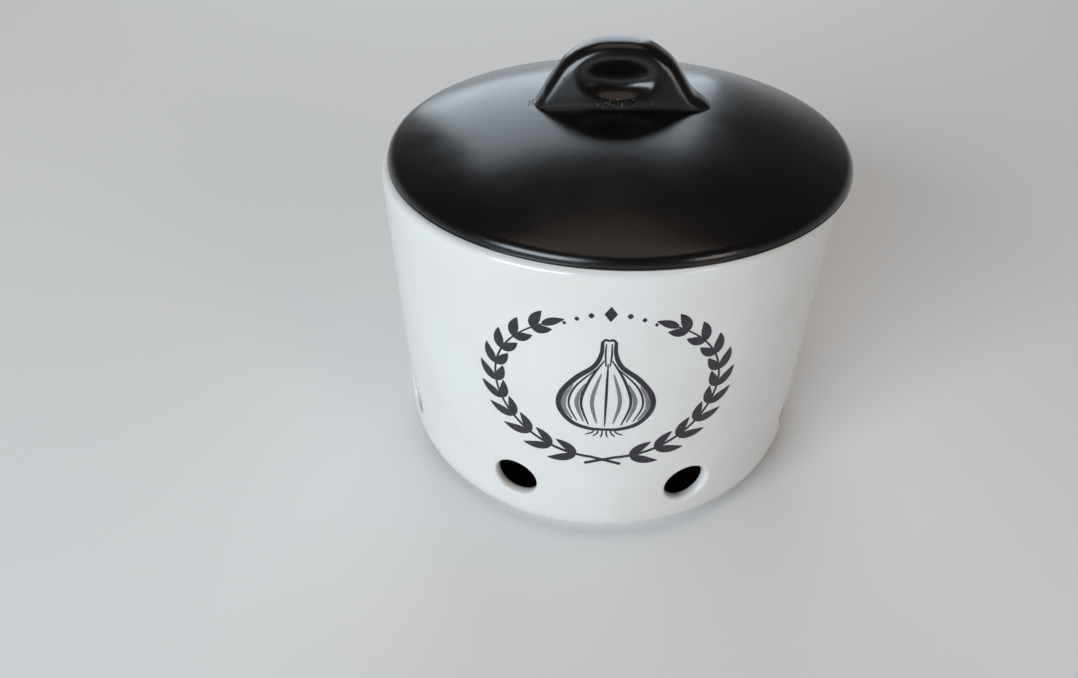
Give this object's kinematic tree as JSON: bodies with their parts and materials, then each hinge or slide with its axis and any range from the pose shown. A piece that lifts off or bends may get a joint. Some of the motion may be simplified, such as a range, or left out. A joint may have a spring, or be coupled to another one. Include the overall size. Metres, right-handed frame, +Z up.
{
  "type": "garlic keeper",
  "caption": "Round vented stoneware pot with a loose black domed lid, a pinch handle on the dome and vents near the base, for keeping garlic.",
  "frame": {"origin": "on the pot's axis, in the plane that the pot stands on; the lid sits about 2 mm off that axis towards +X", "axes": "+Z up; -Y is the front of the pot, with the front midway between two vents; the handle lies along X"},
  "size_m": [0.1496, 0.1474, 0.1458],
  "materials": {
    "white_glaze": "gloss",
    "black_glaze": "satin",
    "fired_ink": "satin"
  },
  "bodies": {
    "pot": {"pot": "white_glaze"},
    "lid": {"lid": "black_glaze", "lid_handle": "black_glaze"}
  },
  "joints": [
    {"name": "lid_lift", "type": "slide", "parent": "pot", "child": "lid", "axis": [0, 0, 1], "range_m": [0, 0.08]}
  ]
}
